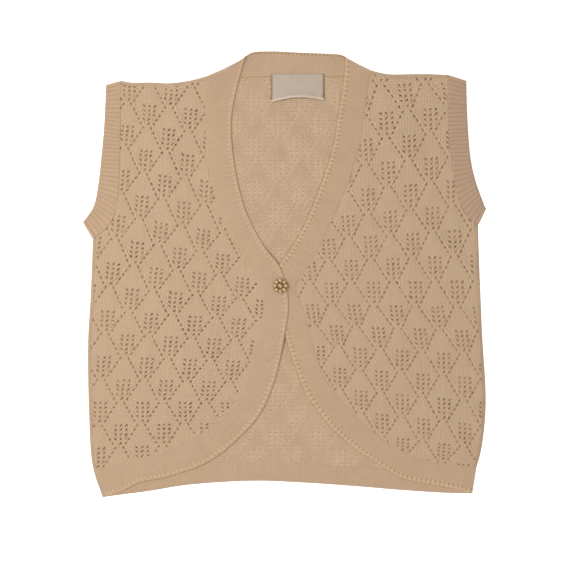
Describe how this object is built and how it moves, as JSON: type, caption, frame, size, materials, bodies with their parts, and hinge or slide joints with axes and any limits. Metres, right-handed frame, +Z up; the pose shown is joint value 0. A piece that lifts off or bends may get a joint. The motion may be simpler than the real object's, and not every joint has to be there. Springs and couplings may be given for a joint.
{
  "type": "sleeveless cardigan",
  "caption": "Sleeveless lace-knit cardigan with plain front bands, cut-away hem, ribbed armbands and a pearl button, laid flat.",
  "frame": {"origin": "on the ground under the middle of the garment as it lies flat", "axes": "+Y towards the neck, +Z up from the ground through the back to the fronts, -X towards the wearer's right"},
  "size_m": [0.4847, 0.5351, 0.0126],
  "materials": {
    "lace_knit": "openwork knit",
    "plain_knit": "plain knit",
    "rib_knit": "fine rib knit",
    "label_satin": "satin weave",
    "button_gold": "polished",
    "pearl": "pearl gloss",
    "stone": "clear gloss"
  },
  "bodies": {
    "root": {"back_panel": "lace_knit", "front_panel_right": "lace_knit", "front_panel_left": "lace_knit", "front_band_right": "plain_knit", "front_band_left": "plain_knit", "neck_band_back": "plain_knit", "hem_band_back": "plain_knit", "arm_band_right": "rib_knit", "arm_band_left": "rib_knit", "neck_label": "label_satin", "button_setting": "button_gold", "button_stone": "stone", "button_pearl_1": "pearl", "button_pearl_2": "pearl", "button_pearl_3": "pearl", "button_pearl_4": "pearl", "button_pearl_5": "pearl", "button_pearl_6": "pearl", "button_pearl_7": "pearl", "button_pearl_8": "pearl"}
  },
  "joints": []
}
